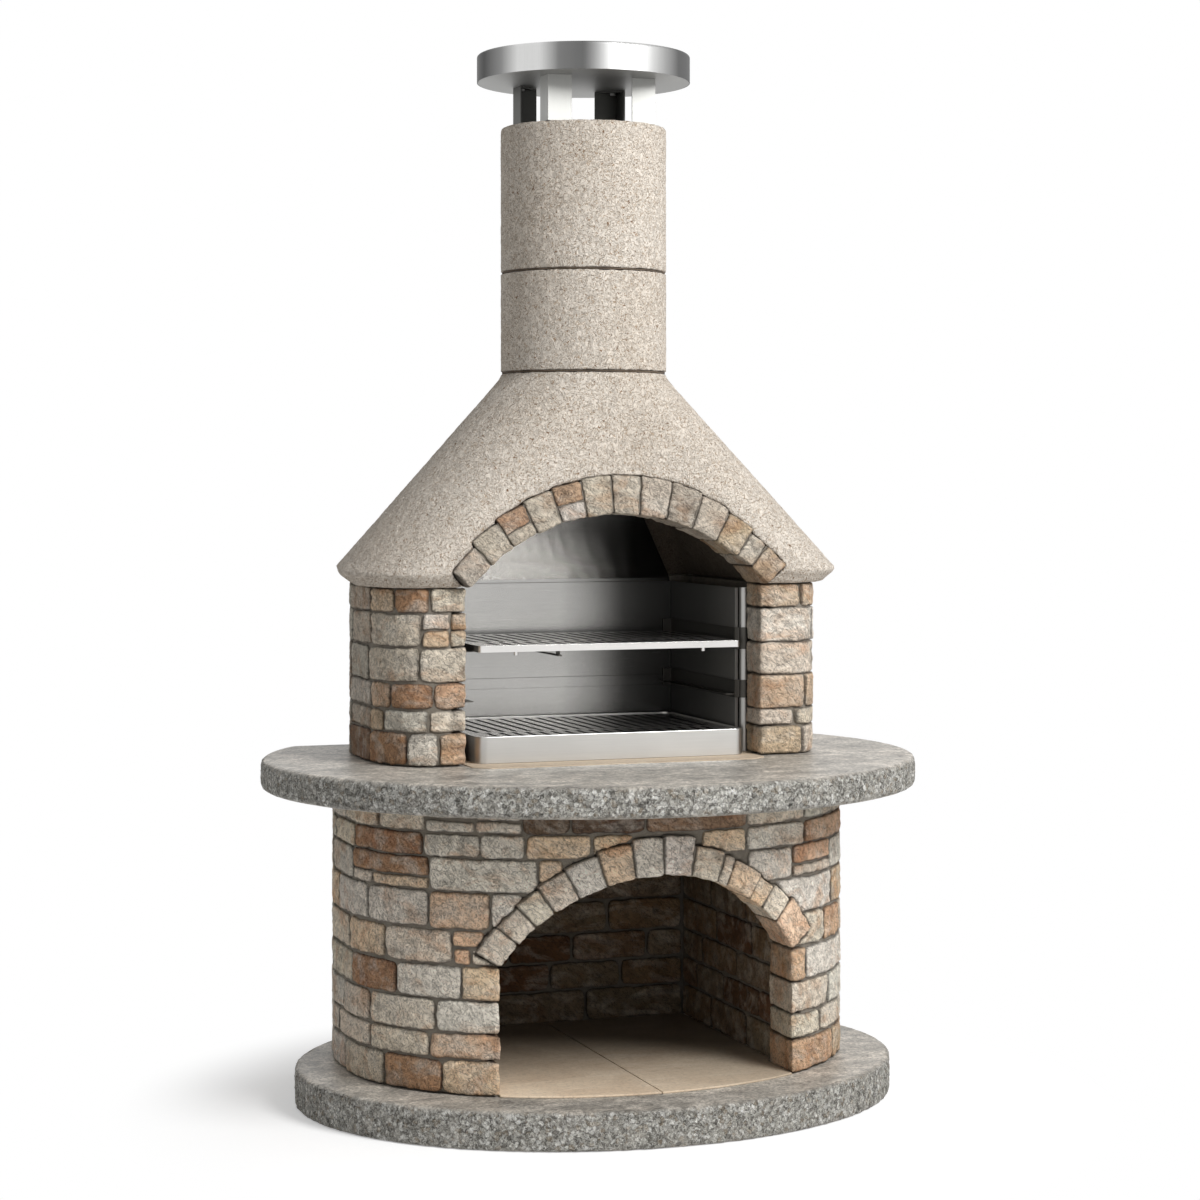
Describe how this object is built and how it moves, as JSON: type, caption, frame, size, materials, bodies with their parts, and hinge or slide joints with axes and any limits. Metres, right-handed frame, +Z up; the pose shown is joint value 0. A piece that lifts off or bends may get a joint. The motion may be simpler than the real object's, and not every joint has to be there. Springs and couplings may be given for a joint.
{
  "type": "masonry barbecue",
  "caption": "Stone-faced masonry barbecue with wood store, round-fronted table slab, steel-lined fire chamber, rendered hood, chimney and cap, with sliding tray and grate.",
  "frame": {"origin": "on the ground, at the middle of the bounding box's footprint", "axes": "+Z up along the chimney, -Y towards the user at the front, +X to the user's right"},
  "size_m": [1.3298, 0.96, 2.092],
  "materials": {
    "cast_concrete": "cast concrete with exposed aggregate",
    "fireclay": "pale fireclay",
    "mortar": "grey-brown mortar and concrete",
    "facing_stone": "split-faced stone, cream to tan and rust",
    "store_stone": "split-faced stone, unlit tan",
    "white_render": "coarse off-white render",
    "brushed_steel": "brushed stainless sheet",
    "dark_steel": "darker formed steel",
    "galvanised_steel": "matt zinc-coated steel"
  },
  "bodies": {
    "root": {"plinth": "cast_concrete", "hearth_tile_left": "fireclay", "hearth_tile_right": "fireclay", "lower_wall_left": "mortar", "lower_wall_right": "mortar", "lower_wall_back": "mortar", "lower_lintel": "mortar", "lower_stones_left": "facing_stone", "lower_stones_right": "facing_stone", "lower_stones_centre": "facing_stone", "lower_corners_left": "facing_stone", "lower_corners_right": "facing_stone", "lower_arch": "facing_stone", "lower_arch_joints": "mortar", "store_lining_left": "store_stone", "store_lining_right": "store_stone", "store_lining_back": "store_stone", "table_slab": "cast_concrete", "fire_plate": "fireclay", "pier_left": "mortar", "pier_right": "mortar", "rear_wall": "mortar", "pier_stones_left": "facing_stone", "pier_stones_right": "facing_stone", "pier_corners_left": "facing_stone", "pier_corners_right": "facing_stone", "liner_back": "brushed_steel", "liner_left": "brushed_steel", "liner_right": "brushed_steel", "smoke_sheet": "brushed_steel", "post_left": "brushed_steel", "post_right": "brushed_steel", "rail_upper_left": "dark_steel", "rail_upper_right": "dark_steel", "rail_lower_left": "dark_steel", "rail_lower_right": "dark_steel", "hood": "white_render", "hood_arch": "facing_stone", "hood_arch_joints": "mortar", "chimney_bed_lower": "mortar", "chimney_lower": "white_render", "chimney_bed_upper": "mortar", "chimney_upper": "white_render", "cap_leg_front_left": "galvanised_steel", "cap_leg_front_right": "galvanised_steel", "cap_leg_rear_left": "galvanised_steel", "cap_leg_rear_right": "galvanised_steel", "cap_anchors": "galvanised_steel", "cap_bolts": "galvanised_steel", "cap_underside": "galvanised_steel", "cap_shell": "galvanised_steel"},
    "ember_tray": {"ember_tray": "brushed_steel", "tray_ledges": "brushed_steel"},
    "charcoal_grate": {"charcoal_grate": "brushed_steel"},
    "cooking_grate": {"cooking_grate": "brushed_steel", "grate_handle": "brushed_steel"}
  },
  "joints": [
    {"name": "ember_tray_slide", "type": "slide", "parent": "root", "child": "ember_tray", "axis": [0, -1, 0], "range_m": [0, 0.35]},
    {"name": "charcoal_grate_lift", "type": "slide", "parent": "ember_tray", "child": "charcoal_grate", "axis": [0, 0, 1], "range_m": [0, 0.05]},
    {"name": "cooking_grate_slide", "type": "slide", "parent": "root", "child": "cooking_grate", "axis": [0, -1, 0], "range_m": [0, 0.2]}
  ]
}
